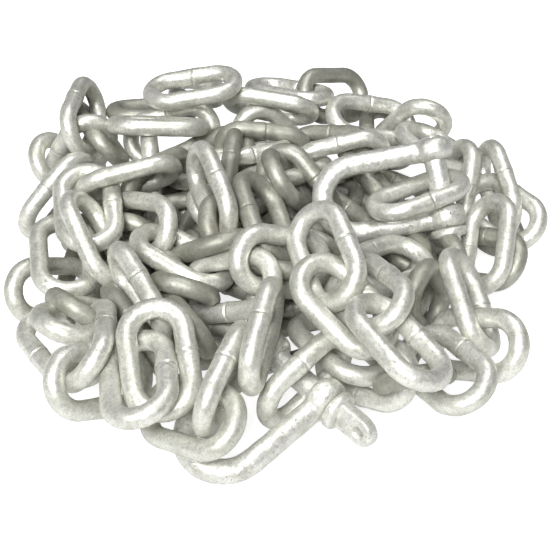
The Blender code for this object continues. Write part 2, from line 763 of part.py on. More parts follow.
def turned(axes, spin):
    angle = np.linalg.norm(spin)
    if angle < 1e-9:
        return axes
    x, y, z = spin / angle
    angle = min(angle, 0.1)
    skew = np.array(((0, -z, y), (z, 0, -x), (-y, x, 0)))
    return (np.eye(3) + math.sin(angle) * skew + (1 - math.cos(angle)) * skew @ skew) @ axes


def smooth_link_outline():
    """The link's centreline with finely divided crowns."""
    half = REACH / 2 - BEND
    angles = [math.pi * (step / 24 - 0.5) for step in range(25)]
    return np.array([(end * (half + BEND * math.cos(angle)), end * BEND * math.sin(angle), 0.0)
                     for end in (1, -1) for angle in angles])


def bow_space():
    """Middles of balls that keep the inside of a shackle's bow free of buried links."""
    along = np.linspace(-SHACKLE_REACH / 2 + 0.012, SHACKLE_REACH / 2 - 0.010, 6)
    grid = np.meshgrid(along, (-0.007, 0.0, 0.007), (-0.006, 0.0, 0.006), indexing="ij")
    return np.stack(grid, axis=-1).reshape(-1, 3)


def bury(heap):
    """Poses of the buried run, laid among the seen links."""
    poses = [read_pose(row, REACH) for row in GLIMPSES]
    for arc in ARCS:
        poses += arc_poses(arc)
    links = [index for index, name in enumerate(heap.names) if name.startswith("link")]
    line = resample(smooth_link_outline(), BURIED_BALLS)
    fixed = [heap.centre[index] + line @ heap.turn[index].T for index in links]
    sizes = [np.full(BURIED_BALLS, RADIUS) for _ in links]
    metal = heap.owner >= len(links)
    shackles = [index for index, name in enumerate(heap.names) if not name.startswith("link")]
    space = np.vstack([heap.centre[index] + bow_space() @ heap.turn[index].T
                       for index in shackles])
    fixed.append(np.vstack((heap.section_points()[metal].reshape(-1, 3), space)))
    sizes.append(np.append(np.repeat(heap.size[metal], 5) + 0.0004,
                           np.full(len(space), BOW_SPACE_BALL)))
    room = heap.section_points()[heap.owner < len(links)].reshape(-1, 3)
    low = np.array((room[:, 0].min(), room[:, 1].min(), RADIUS)) + (0.002, 0.002, 0.0005)
    high = np.array((room[:, 0].max(), room[:, 1].max(), room[:, 2].max())) - 0.002
    metal = fixed[len(links)]
    fixed = np.vstack(fixed)
    centres, axes, worlds = settle_buried(poses, fixed, np.concatenate(sizes), low, high)
    clear = np.array([(np.linalg.norm(own[:, None] - metal[None], axis=2) - sizes[-1]).min()
                      for own in worlds]) - RADIUS
    keep = clear > 0.0003
    print("buried links left out beside the shackles:", int((~keep).sum()))
    return centres[keep], axes[keep], worlds[keep]


def joined_to_core(worlds):
    """Which buried links hang together with the core, through overlaps deep enough to fuse."""
    count = len(worlds)
    level = np.linalg.norm(worlds / np.array(CORE_RADII), axis=2).min(axis=1)
    joined = set(np.flatnonzero(level < 1.0))
    waiting = set(range(count)) - joined
    grew = True
    while grew:
        grew = False
        for index in sorted(waiting):
            others = worlds[sorted(joined)].reshape(-1, 3)
            gap = np.linalg.norm(worlds[index][:, None] - others[None], axis=2).min()
            if gap < WIRE - BURIED_BITE * 0.5:
                joined.add(index)
                waiting.remove(index)
                grew = True
    return sorted(joined)


def linked_matrix(names):
    wanted = np.zeros((len(names), len(names)), dtype=bool)
    for one, two in LINKED:
        i, j = names.index(one), names.index(two)
        wanted[i, j] = wanted[j, i] = True
    return wanted


def settle():
    heap = Heap(list(LINKS), list(SHACKLES))
    wanted = linked_matrix(heap.names)
    over = [(heap.names.index(upper), heap.names.index(lower)) for upper, lower in OVER]
    heap.sort_depths(wanted, over)
    for thickness in (0.1, 0.2, 0.3, 0.4, 0.5, 0.6, 0.7, 0.8, 0.9, 1.0):
        heap.relax(25, thickness, 0.06)
    heap.relax(250, 1.0, 0.03)
    heap.relax(300, 1.0, 0.0)
    heap.close_gaps()
    return heap


def make_material(name, colour, roughness):
    material = bpy.data.materials.new(name)
    material.use_nodes = True
    shader = material.node_tree.nodes["Principled BSDF"]
    shader.inputs["Base Color"].default_value = (*colour, 1.0)
    shader.inputs["Metallic"].default_value = 0.9
    shader.inputs["Roughness"].default_value = roughness
    return material


def wire_curve(name, points, radius, bevel, closed):
    curve = bpy.data.curves.new(name, "CURVE")
    curve.dimensions = "3D"
    curve.fill_mode = "FULL"
    curve.bevel_depth = radius
    curve.bevel_resolution = bevel
    curve.use_fill_caps = not closed
    spline = curve.splines.new("POLY")
    spline.points.add(len(points) - 1)
    for target, point in zip(spline.points, points):
        target.co = (*point, 1.0)
    spline.use_cyclic_u = closed
    return curve


def add_object(name, data, collection):
    thing = bpy.data.objects.new(name, data)
    collection.objects.link(thing)
    return thing


def add_cylinder(name, diameter, depth, location, sides, collection, along_y=True, edge=0.0):
    """A closed cylinder as an object, along Y unless told otherwise, with rounded rims."""
    turn = (math.pi / 2, 0, 0) if along_y else (0, 0, 0)
    bpy.ops.mesh.primitive_cylinder_add(vertices=sides, radius=diameter / 2, depth=depth,
                                        location=location, rotation=turn)
    thing = bpy.context.active_object
    thing.name = name
    for owner in list(thing.users_collection):
        owner.objects.unlink(thing)
    collection.objects.link(thing)
    if edge:
        rim = thing.modifiers.new("rim", "BEVEL")
        rim.width = edge
        rim.segments = 2
        rim.limit_method = "ANGLE"
        rim.angle_limit = math.radians(60)
    return thing


def add_box(name, size, location, collection):
    bpy.ops.mesh.primitive_cube_add(size=1.0, location=location)
    thing = bpy.context.active_object
    thing.name = name
    thing.scale = size
    for owner in list(thing.users_collection):
        owner.objects.unlink(thing)
    collection.objects.link(thing)
    return thing


def join_shapes(name, base, added, cut, solver="EXACT"):
    """One solid mesh from a base shape, shapes to add and shapes to cut."""
    for operation, tools in (("UNION", added), ("DIFFERENCE", cut)):
        for tool in tools:
            change = base.modifiers.new(tool.name, "BOOLEAN")
            change.operation = operation
            change.solver = solver
            change.object = tool
    bpy.context.view_layer.update()
    view = bpy.context.evaluated_depsgraph_get()
    mesh = bpy.data.meshes.new_from_object(base.evaluated_get(view))
    mesh.transform(base.matrix_world)
    mesh.name = name
    for tool in [base] + added + cut:
        bpy.data.objects.remove(tool)
    return mesh


def curve_mesh(curve, collection):
    """The closed mesh of a wire curve, with its caps welded on."""
    holder = add_object("wire", curve, collection)
    bpy.context.view_layer.update()
    view = bpy.context.evaluated_depsgraph_get()
    mesh = bpy.data.meshes.new_from_object(holder.evaluated_get(view))
    bpy.data.objects.remove(holder)
    body = bmesh.new()
    body.from_mesh(mesh)
    bmesh.ops.remove_doubles(body, verts=body.verts, dist=0.00001)
    bmesh.ops.recalc_face_normals(body, faces=body.faces)
    body.to_mesh(mesh)
    body.free()
    return mesh


def shackle_bow_mesh(collection):
    curve = wire_curve("bow_wire", bow_outline(), SHACKLE_BODY / 2, 3, False)
    bow = add_object("bow", curve_mesh(curve, collection), collection)
    pin_x = SHACKLE_REACH / 2
    eyes = []
    holes = []
    for side in (1, -1):
        place = (pin_x, side * SHACKLE_SPACING / 2, 0.0)
        eyes.append(add_cylinder("eye", EYE_DIAMETER, EYE_WIDTH, place, 24, collection,
                                 edge=EYE_ROUNDING))
    bore = PIN_DIAMETER + 2 * PIN_CLEARANCE
    holes.append(add_cylinder("bore", bore, SHACKLE_SPACING * 2, (pin_x, 0, 0), 24, collection))
    return join_shapes("shackle_bow", bow, eyes, holes)


def shackle_pin_mesh(collection):
    """The pin with its round collar and the flat drilled lug that turns it."""
    pin_x = SHACKLE_REACH / 2
    face = SHACKLE_SPACING / 2 + EYE_WIDTH / 2
    start = -face - 0.001
    end = face + PIN_CLEARANCE + COLLAR_THICKNESS / 2
    shaft = add_cylinder("shaft", PIN_DIAMETER, end - start, (pin_x, (start + end) / 2, 0), 24,
                         collection)
    collar_y = face + PIN_CLEARANCE + COLLAR_THICKNESS / 2
    collar = add_cylinder("collar", COLLAR_DIAMETER, COLLAR_THICKNESS, (pin_x, collar_y, 0), 24,
                          collection, edge=0.001)
    lug_start = collar_y
    lug_y = lug_start + LUG_LENGTH / 2
    lug = add_box("lug", (LUG_WIDTH, LUG_LENGTH, LUG_THICKNESS), (pin_x, lug_y, 0), collection)
    tip = add_cylinder("tip", LUG_WIDTH, LUG_THICKNESS, (pin_x, lug_start + LUG_LENGTH, 0), 20,
                       collection, along_y=False)
    hole = add_cylinder("lug_hole", LUG_HOLE, 0.02, (pin_x, lug_start + LUG_LENGTH, 0), 12,
                        collection, along_y=False)
    for thing in (lug, tip, hole):
        thing.rotation_euler.rotate_axis("Y", LUG_TURN)
    return join_shapes("shackle_pin", shaft, [collar, lug, tip], [hole])


def core_mesh():
    """The plain core that stands for the links buried inside the mound."""
    mesh = bpy.data.meshes.new("buried_core")
    body = bmesh.new()
    bmesh.ops.create_uvsphere(body, u_segments=24, v_segments=12, radius=1.0)
    bmesh.ops.scale(body, vec=CORE_RADII, verts=body.verts)
    whole = body.verts[:] + body.edges[:] + body.faces[:]
    cut = bmesh.ops.bisect_plane(body, geom=whole, plane_co=(0, 0, 0), plane_no=(0, 0, -1),
                                 dist=0.00001, clear_outer=True)
    rim = [item for item in cut["geom_cut"] if isinstance(item, bmesh.types.BMEdge)]
    bmesh.ops.contextual_create(body, geom=rim)
    bmesh.ops.recalc_face_normals(body, faces=body.faces)
    body.to_mesh(mesh)
    body.free()
    return mesh


def buried_mesh(heap, collection):
    """The core with the buried run half sunk in it, fused to one body."""
    centres, axes, worlds = bury(heap)
    chosen = joined_to_core(worlds)
    print("buried links fused to the core:", len(chosen), "of", len(centres))
    curve = wire_curve("buried_link", link_outline(BURIED_CROWN), RADIUS, BURIED_BEVEL, True)
    wire = curve_mesh(curve, collection)
    tools = []
    for index in chosen:
        tool = add_object("buried_tool", wire, collection)
        place(tool, centres[index], axes[index])
        tools.append(tool)
    base = add_object("core_base", core_mesh(), collection)
    room = wire_curve("room_for_a_link", link_outline(), RADIUS + ROOM, WIRE_BEVEL, True)
    room = curve_mesh(room, collection)
    cutters = []
    buried = worlds[chosen].reshape(-1, 3)
    for index, name in enumerate(heap.names):
        apart = np.linalg.norm(buried - heap.centre[index], axis=1).min()
        if name.startswith("link") and apart < LINK_LENGTH / 2 + RADIUS:
            cutter = add_object("room_cutter", room, collection)
            place(cutter, heap.centre[index], heap.turn[index])
            cutters.append(cutter)
    mesh = join_shapes("buried_core", base, tools, cutters, "MANIFOLD")
    fill_cavities(mesh)
    return mesh


def fill_cavities(mesh):
    """Delete every closed shell but the outer one, so that no hollow is sealed inside."""
    body = bmesh.new()
    body.from_mesh(mesh)
    shells = []
    waiting = set(body.verts)
    while waiting:
        shell = {waiting.pop()}
        edge = list(shell)
        while edge:
            found = {link.other_vert(vertex) for vertex in edge for link in vertex.link_edges}
            edge = list(found - shell)
            shell.update(edge)
        waiting -= shell
        shells.append(shell)
    shells.sort(key=len)
    print("shells filled:", [len(shell) for shell in shells[:-1]])
    for shell in shells[:-1]:
        bmesh.ops.delete(body, geom=list(shell), context="VERTS")
    body.to_mesh(mesh)
    body.free()


def place(thing, centre, turn):
    matrix = Matrix([list(row) for row in turn]).to_4x4()
    matrix.translation = Vector(centre)
    thing.matrix_world = matrix


def centre_on_floor(things):
    """Move everything so that the origin is the middle of the whole box's underside."""
    bpy.context.view_layer.update()
    view = bpy.context.evaluated_depsgraph_get()
    corners = []
    for thing in things:
        mesh = thing.evaluated_get(view).to_mesh()
        corners += [thing.matrix_world @ vertex.co for vertex in mesh.vertices]
    middle = [(min(c[axis] for c in corners) + max(c[axis] for c in corners)) / 2
              for axis in (0, 1)]
    for thing in things:
        thing.location.x -= middle[0]
        thing.location.y -= middle[1]
    print("moved to the box's middle by", [round(-value, 5) for value in middle])


def main():
    for thing in list(bpy.data.objects):
        bpy.data.objects.remove(thing)
    collection = bpy.data.collections.new("heap_of_steel_chain")
    bpy.context.scene.collection.children.link(collection)
    zinc = make_material("galvanised_steel", (0.60, 0.60, 0.56), 0.42)
    forged = make_material("galvanised_forged_steel", (0.66, 0.66, 0.62), 0.38)
    shade = make_material("buried_steel", (0.30, 0.30, 0.27), 0.6)

    heap = settle()
    link_curve = wire_curve("link", link_outline(), RADIUS, WIRE_BEVEL, True)
    link_curve.materials.append(zinc)
    bow_mesh = shackle_bow_mesh(collection)
    pin_mesh = shackle_pin_mesh(collection)
    for mesh in (bow_mesh, pin_mesh):
        mesh.materials.clear()
        mesh.materials.append(forged)
    things = []
    for index, name in enumerate(heap.names):
        if name.startswith("link"):
            made = [add_object(name, link_curve, collection)]
        else:
            made = [add_object(name + "_bow", bow_mesh, collection),
                    add_object(name + "_pin", pin_mesh, collection)]
        for thing in made:
            place(thing, heap.centre[index], heap.turn[index])
        things += made
    core = buried_mesh(heap, collection)
    core.materials.clear()
    core.materials.append(shade)
    things.append(add_object("buried_core", core, collection))
    centre_on_floor(things)


if __name__ == "__main__":
    main()
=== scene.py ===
# %% [markdown]
# # A heap of galvanised steel chain
# The real object is a run of short welded-link chain, dipped in molten zinc and dropped in a
# mound, with a forged shackle near each end. Every link is the same bent and welded bar, so the
# lesson is about making one good link, laying a copy of it wherever the mound has a link, and
# then giving the zinc its dull, mottled, slightly rough skin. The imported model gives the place
# of each link, so it is loaded first.

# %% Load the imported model
import math

import bmesh
import bpy
import numpy as np
from mathutils import Matrix, Vector


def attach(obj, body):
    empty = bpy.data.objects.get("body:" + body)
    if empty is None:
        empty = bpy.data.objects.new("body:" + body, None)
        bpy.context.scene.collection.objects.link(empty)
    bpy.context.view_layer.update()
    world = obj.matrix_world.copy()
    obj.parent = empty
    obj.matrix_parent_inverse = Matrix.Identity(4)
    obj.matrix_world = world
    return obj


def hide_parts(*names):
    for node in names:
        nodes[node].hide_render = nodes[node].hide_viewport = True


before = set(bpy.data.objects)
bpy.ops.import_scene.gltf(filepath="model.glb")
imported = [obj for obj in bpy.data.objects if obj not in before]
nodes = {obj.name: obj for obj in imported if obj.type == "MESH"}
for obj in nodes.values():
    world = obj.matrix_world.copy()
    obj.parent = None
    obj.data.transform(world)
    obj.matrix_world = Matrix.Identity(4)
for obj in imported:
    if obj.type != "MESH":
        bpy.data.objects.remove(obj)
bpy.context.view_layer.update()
link_nodes = sorted(name for name in nodes if name.startswith("link"))
print("link nodes", len(link_nodes), "of", len(nodes))

# %% [markdown]
# ## Sizes
# A chain is named by its wire, and its other sizes hang on that one: the length is about six
# wires and the width a little under four. The shackles are one size heavier than the chain.

# %% Named sizes, in metres
WIRE = 0.010
LINK_LENGTH = 0.0615
LINK_WIDTH = 0.037
REACH = LINK_LENGTH - WIRE
BEND = (LINK_WIDTH - WIRE) / 2
HALF_STRAIGHT = REACH / 2 - BEND
PITCH = LINK_LENGTH - 2 * WIRE
SHACKLE_BODY = 0.012
SHACKLE_SPACING = 0.038
SHACKLE_REACH = 0.0660
EYE_DIAMETER = 0.022
EYE_WIDTH = 0.0125
PIN_DIAMETER = 0.012
COLLAR_DIAMETER = 0.020
COLLAR_THICKNESS = 0.005
LUG_LENGTH = 0.015
LUG_WIDTH = 0.016
LUG_THICKNESS = 0.006
LUG_HOLE = 0.007

# %% [markdown]
# ## The camera
# The photograph looks down on the mound at about 38 degrees through a moderately long lens. The
# camera comes first, because every later judgement is made through it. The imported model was
# centred on its own box, so the viewpoint moves with it by the same small step.

# %% Place the camera
VIEW_DISTANCE = 0.58
VIEW_ELEVATION = math.radians(38)
VIEW_HEIGHT = 0.025
FOCAL_PIXELS = 1050
PICTURE = 560
AIM = (272, 275)
CENTRING = Vector((-0.00446, -0.01968, 0.0))

back = Vector((0.0, -math.cos(VIEW_ELEVATION), math.sin(VIEW_ELEVATION)))
right = Vector((1.0, 0.0, 0.0))
up = back.cross(right)
eye = Vector((0, 0, VIEW_HEIGHT)) + back * VIEW_DISTANCE
camera_data = bpy.data.cameras.new("camera")
camera = bpy.data.objects.new("camera", camera_data)
bpy.context.scene.collection.objects.link(camera)
camera.location = eye + CENTRING
camera.rotation_mode = "QUATERNION"
camera.rotation_quaternion = (-back).to_track_quat("-Z", "Y")
camera_data.sensor_width = 36
camera_data.lens = 36 * FOCAL_PIXELS / PICTURE
camera_data.shift_x = (PICTURE / 2 - AIM[0]) / PICTURE
camera_data.shift_y = (AIM[1] - PICTURE / 2) / PICTURE
bpy.context.scene.camera = camera
print("lens", round(camera_data.lens, 1), "mm")


# %% [markdown]
# ## Small helpers
# An operator works on everything that is selected, so each step starts from a clean selection.
# Faces and edges are picked in code, by where they are.

# %% Selection helpers
def only(thing):
    bpy.ops.object.select_all(action="DESELECT")
    thing.select_set(True)
    bpy.context.view_layer.objects.active = thing


def named(name):
    thing = bpy.context.object
    thing.name = name
    thing.data.name = name
    return thing


def pick(thing, kind, chosen):
    """Select the faces or edges of a mesh in edit mode whose middle passes a test."""
    bpy.ops.mesh.select_mode(type="FACE" if kind == "faces" else "EDGE")
    bpy.ops.mesh.select_all(action="DESELECT")
    mesh = bmesh.from_edit_mesh(thing.data)
    count = 0
    for part in getattr(mesh, kind):
        middle = sum((vertex.co for vertex in part.verts), Vector()) / len(part.verts)
        if chosen(middle, part):
            part.select_set(True)
            count += 1
    bmesh.update_edit_mesh(thing.data)
    return count


def apply_modifier(thing, name, kind, **settings):
    only(thing)
    modifier = thing.modifiers.new(name, kind)
    for key, value in settings.items():
        setattr(modifier, key, value)
    bpy.ops.object.modifier_apply(modifier=name)


# %% [markdown]
# ## One link
# A smith cuts a length of round bar, bends it round a mandrel into a long ring and welds the
# ends together in the middle of one side. Here a torus is split into two crowns that slide
# apart, and the gaps are bridged with straight bars. A bent curve with a round bevel would give
# the same bar, but bridging leaves clean rings that the weld can be shaped from.

# %% Model the master link
RINGS = 48
SIDES = 20
WELD_CUTS = 13


def model_link():
    bpy.ops.object.select_all(action="DESELECT")
    bpy.ops.mesh.primitive_torus_add(major_segments=RINGS, minor_segments=SIDES,
                                     major_radius=BEND, minor_radius=WIRE / 2,
                                     generate_uvs=False)
    link = named("master_link")
    bpy.ops.object.mode_set(mode="EDIT")
    pick(link, "faces", lambda middle, face: middle.x > 0)
    bpy.ops.mesh.split()
    bpy.ops.transform.translate(value=(HALF_STRAIGHT, 0, 0))
    pick(link, "faces", lambda middle, face: middle.x < 0)
    bpy.ops.transform.translate(value=(-HALF_STRAIGHT, 0, 0))
    for side, cuts in ((1, WELD_CUTS), (-1, 4)):
        pick(link, "edges", lambda middle, edge: edge.is_boundary and middle.y * side > 0)
        bpy.ops.mesh.bridge_edge_loops(number_cuts=cuts)
    bpy.ops.object.mode_set(mode="OBJECT")
    return link


master_link = model_link()
print("master link", len(master_link.data.polygons), "faces",
      [round(v * 1000, 1) for v in master_link.dimensions], "mm")

# %% [markdown]
# ## The weld
# The two ends of the bar are pressed together while they glow, which leaves a fine seam with a
# low collar of pushed-out steel on one side. Each ring of the straight bar is moved along to a
# chosen place and swollen by a chosen share. A soft mark of how near each point is to the seam
# goes into the mesh as an attribute, so that the zinc can be darker in the seam.

# %% Shape the weld
WELD_RINGS = ((-8.5, 1.0), (-6.2, 1.0), (-4.2, 1.01), (-2.6, 1.03), (-1.3, 1.045),
              (-0.4, 1.04), (0.0, 0.965), (0.35, 1.075), (1.4, 1.085), (3.0, 1.06),
              (4.8, 1.03), (6.8, 1.005), (8.8, 1.0))


def shape_weld(link):
    bpy.ops.object.select_all(action="DESELECT")
    rings = {}
    for vertex in link.data.vertices:
        if vertex.co.y > 0 and abs(vertex.co.x) < HALF_STRAIGHT - 1e-5:
            rings.setdefault(round(vertex.co.x, 5), []).append(vertex)
    for (_, ring), (place, swell) in zip(sorted(rings.items()), WELD_RINGS):
        for vertex in ring:
            lean = 0.06 * vertex.co.z
            vertex.co.x = place / 1000 + lean
            vertex.co.y = BEND + (vertex.co.y - BEND) * swell
            vertex.co.z *= swell
    seam = link.data.attributes.new("weld", "FLOAT", "POINT")
    for vertex in link.data.vertices:
        distance = abs(vertex.co.x) * 1000 if vertex.co.y > 0 else 99.0
        seam.data[vertex.index].value = max(0.0, 1.0 - distance / 7.0)
    return len(rings)


print("weld rings", shape_weld(master_link))

# %% [markdown]
# ## Where each link lies
# A packed link is a plain eight-sided tube whose place is in its vertices. Its long axis, its
# width and its normal are the directions in which those vertices spread most, next and least,
# so three lines of linear algebra give the pose for the fine copy.


# %% Read the poses
def vertices_of(thing):
    spots = np.zeros(len(thing.data.vertices) * 3)
    thing.data.vertices.foreach_get("co", spots)
    return spots.reshape(-1, 3)


def read_axes(spots):
    """Middle of the box along the axes of greatest, second and least spread."""
    middle = spots.mean(axis=0)
    axes = np.linalg.svd(spots - middle, full_matrices=False)[2]
    axes[2] = np.cross(axes[0], axes[1])
    along = (spots - middle) @ axes.T
    middle = middle + (along.max(axis=0) + along.min(axis=0)) / 2 @ axes
    return middle, axes.T


link_poses = {name: read_axes(vertices_of(nodes[name])) for name in link_nodes}
lowest = min(link_poses, key=lambda name: link_poses[name][0][2])
print("lowest link", lowest, [round(v, 3) for v in link_poses[lowest][0]])

# %% [markdown]
# ## The links that are only glimpsed
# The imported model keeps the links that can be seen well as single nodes, and one piece stands in
# for the run buried under them. Here that run is laid link by link. Some links are glimpsed
# between others, so they are read from the picture: where both crowns appear, which is nearer,
# and how deep they lie. The rest run in arcs low down and over the back, as the chain does when
# it is let down into a mound.

# %% Lay the hidden run
MOUND_RADII = np.array((0.150, 0.135, 0.066))
GLIMPSED = (
    # crown a column and row, crown b column and row, nearer crown, roll in degrees, wires deep
    (108, 112, 183, 96, "a", 75, 0.8),
    (231, 207, 285, 262, "b", 60, 0.9),
    (186, 221, 262, 228, "a", 20, 1.6),
    (310, 100, 350, 88, "a", 10, 2.2),
    (392, 100, 392, 160, "b", 30, 1.8),
    (346, 208, 372, 190, "a", 40, 2.0),
    (425, 402, 415, 345, "a", 20, 0.6),
    (236, 322, 212, 372, "b", 45, 1.2),
    (92, 275, 128, 345, "b", 85, 1.2),
    (265, 245, 298, 275, "b", 60, 2.0),
    (405, 275, 447, 300, "a", 20, 1.6),
    (434, 240, 445, 290, "b", 40, 1.6),
    (182, 232, 222, 255, "b", 20, 2.4),
    (118, 235, 140, 222, "b", 10, 2.4),
    (99, 118, 107, 163, "b", 65, 0.6),
    (160, 278, 178, 305, "b", 40, 2.2),
    (185, 300, 203, 345, "b", 70, 2.0),
    (75, 293, 98, 322, "b", 60, 1.8),
    (370, 175, 395, 200, "a", 30, 2.2),
    (478, 180, 503, 240, "b", 40, 1.6),
    (300, 185, 322, 195, "a", 50, 2.4),
    (240, 163, 218, 185, "b", 50, 2.4),
)
ARC_PITCH = 0.0407
ARCS = (
    # radius across and in depth, height, first and last angle in degrees, roll
    (0.112, 0.124, 0.018, 12, 168, 40),
    (0.080, 0.085, 0.018, -60, 240, 45),
    (0.088, 0.096, 0.046, 15, 165, 35),
    (0.052, 0.058, 0.044, -10, 200, 50),
)
INNER_ARCS = (
    (0.060, 0.052, 0.012, 0, 340, 40),
    (0.026, 0.022, 0.014, 0, 300, 45),
    (0.098, 0.106, 0.012, 8, 172, 75),
    (0.072, 0.076, 0.028, 5, 175, 30),
    (0.036, 0.040, 0.032, 0, 330, 20),
)


def sight_line(column, row):
    ray = right * (column - AIM[0]) - up * (row - AIM[1]) - back * FOCAL_PIXELS
    return np.array(ray.normalized())


def mound_distance(ray):
    """How far along a sight line the mound's skin lies, or else the floor."""
    start = np.array(eye) / MOUND_RADII
    step = ray / MOUND_RADII
    a = step @ step
    b = start @ step
    root = b * b - a * (start @ start - 1)
    floor = (WIRE / 2 - eye.z) / ray[2]
    mound = (-b - math.sqrt(root)) / a if root > 0 else -b / a
    return min(mound, floor) if root > 0 or mound < floor else floor


def pose_from(along, toward, roll):
    """Axes from a link's direction and the way its flat side would face before it rolls."""
    along = along / np.linalg.norm(along)
    toward = toward - along * (toward @ along)
    toward /= np.linalg.norm(toward)
    side = np.cross(along, toward)
    width = side * math.cos(roll) + toward * math.sin(roll)
    return np.column_stack((along, width, np.cross(along, width)))


def glimpse(a_column, a_row, b_column, b_row, near, roll, deep):
    first = sight_line(a_column, a_row)
    second = sight_line(b_column, b_row)
    between = first + second
    between /= np.linalg.norm(between)
    middle = mound_distance(between) + deep * WIRE
    cosine = first @ second
    spare = REACH ** 2 - middle ** 2 * (2 - 2 * cosine)
    half = math.sqrt(max(0.0, spare / (2 + 2 * cosine)))
    if spare < 0:
        middle = REACH / math.sqrt(2 - 2 * cosine)
    if near == "b":
        half = -half
    end_a = first * (middle - half)
    end_b = second * (middle + half)
    centre = np.array(eye) + (end_a + end_b) / 2
    return centre, pose_from(end_b - end_a, -between, math.radians(roll))


def arc_run(radius_x, radius_y, height, start, finish, lean):
    """Links of one run along an arc of an ellipse, each turned a quarter against the last."""
    poses = []
    angle = math.radians(start)
    turn = 0
    while angle < math.radians(finish):
        spot = np.array((radius_x * math.cos(angle), radius_y * math.sin(angle), height))
        tangent = np.array((-radius_x * math.sin(angle), radius_y * math.cos(angle), 0.0))
        roll = math.radians(lean + 90 * (turn % 2))
        poses.append((spot, pose_from(tangent, np.array((0.0, 0.0, 1.0)), roll)))
        angle += ARC_PITCH / np.linalg.norm(tangent)
        turn += 1
    return poses


outer_run = [glimpse(*row) for row in GLIMPSED]
for arc in ARCS:
    outer_run += arc_run(*arc)
inner_run = [pose for arc in INNER_ARCS for pose in arc_run(*arc)]
print("hidden links", len(outer_run), "under the seen ones and", len(inner_run), "in the middle")

# %% [markdown]
# ## Wires as strings of balls
# Before the hidden run can settle it must know what is in its way. Every link is a closed string
# of balls along its bar. A shackle is a string along its arms and crown and back along the pin,
# with rings of balls in its eyes and collar, three rows in its lug, and a block of balls that
# keeps the inside of the bow free.

# %% Strings of balls
BALLS = 48
CROWN_X = -SHACKLE_REACH / 2 + SHACKLE_SPACING / 2
PIN_X = SHACKLE_REACH / 2
BOW_SPACE_BALL = 0.0065


def resample(points, count):
    """Evenly spaced points on a closed line."""
    closed = np.vstack((points, points[:1]))
    marks = np.append(0.0, np.cumsum(np.linalg.norm(np.diff(closed, axis=0), axis=1)))
    wanted = np.linspace(0.0, marks[-1], count, endpoint=False)
    return np.column_stack([np.interp(wanted, marks, closed[:, axis]) for axis in range(3)])


def link_line():
    angles = [math.pi * (step / 24 - 0.5) for step in range(25)]
    corners = [(end * (HALF_STRAIGHT + BEND * math.cos(angle)), end * BEND * math.sin(angle), 0.0)
               for end in (1, -1) for angle in angles]
    return resample(np.array(corners), BALLS)


def bow_line():
    half = SHACKLE_SPACING / 2
    bend = [(CROWN_X + half * math.cos(angle), half * math.sin(angle), 0.0)
            for angle in (math.pi * (0.5 + step / 8) for step in range(9))]
    arm = CROWN_X + half * 0.9
    corners = [(PIN_X, half, 0.0), (arm, half, 0.0)] + bend + [(arm, -half, 0.0),
                                                             (PIN_X, -half, 0.0)]
    return resample(np.array(corners), 40)


def ring(radius, side, count):
    angles = [2 * math.pi * step / count for step in range(count)]
    return np.array([(PIN_X + radius * math.cos(angle), side, radius * math.sin(angle))
                     for angle in angles])


def shackle_balls():
    """Places and sizes of the balls of one shackle, in its own axes."""
    face = SHACKLE_SPACING / 2 + EYE_WIDTH / 2
    groups = [(bow_line(), SHACKLE_BODY / 2 + 0.0004)]
    for side in (1, -1):
        for offset in (-0.0025, 0.0025):
            groups.append((ring(EYE_DIAMETER / 2 - 0.0039, side * SHACKLE_SPACING / 2 + offset,
                                15), 0.0047))
    groups.append((ring((COLLAR_DIAMETER - COLLAR_THICKNESS) / 2, face + COLLAR_THICKNESS / 2,
                        15), COLLAR_THICKNESS * 0.62 + 0.0005))
    steps = face + np.linspace(COLLAR_THICKNESS, COLLAR_THICKNESS / 2 + LUG_LENGTH * 1.3, 5)
    for offset in (-0.3, 0.0, 0.3):
        row = [(PIN_X + LUG_WIDTH * offset, step, 0.0) for step in steps]
        groups.append((np.array(row), LUG_THICKNESS * 0.56 + 0.0005))
    along = np.linspace(-SHACKLE_REACH / 2 + 0.012, SHACKLE_REACH / 2 - 0.010, 6)
    block = np.meshgrid(along, (-0.007, 0.0, 0.007), (-0.006, 0.0, 0.006), indexing="ij")
    groups.append((np.stack(block, axis=-1).reshape(-1, 3), BOW_SPACE_BALL))
    return (np.vstack([group for group, size in groups]),
            np.concatenate([np.full(len(group), size) for group, size in groups]))


def shackle_pose(name):
    """A packed bow is longest towards its pin, and the pin's lug sticks out on one side."""
    bow = vertices_of(nodes[name + "_bow"])
    pin = vertices_of(nodes[name + "_pin"])
    middle, axes = read_axes(bow)
    along = axes[:, 0]
    if (pin.mean(axis=0) - middle) @ along < 0:
        along = -along
    side = read_axes(pin)[1][:, 0]
    reach = (pin - middle) @ side
    if reach.max() < -reach.min():
        side = -side
    side = side - along * (side @ along)
    side /= np.linalg.norm(side)
    own = np.column_stack((along, side, np.cross(along, side)))
    spans = (bow - middle) @ own
    offset = np.array((spans[:, 0].min() + SHACKLE_REACH / 2 + SHACKLE_BODY / 2,
                       (spans[:, 1].min() + spans[:, 1].max()) / 2,
                       (spans[:, 2].min() + spans[:, 2].max()) / 2))
    return middle + own @ offset, own


step_to_middle = np.array(CENTRING)
wire_line = link_line()
shackle_poses = {name: shackle_pose(name) for name in ("shackle_1", "shackle_2")}
seen_balls = np.vstack([centre - step_to_middle + wire_line @ axes.T
                        for centre, axes in link_poses.values()])
fitting_balls, fitting_sizes = shackle_balls()
metal_balls = np.vstack([centre - step_to_middle + fitting_balls @ axes.T
                         for centre, axes in shackle_poses.values()])
metal_sizes = np.tile(fitting_sizes, len(shackle_poses))
print("balls of seen links", len(seen_balls), "and of shackles", len(metal_balls))

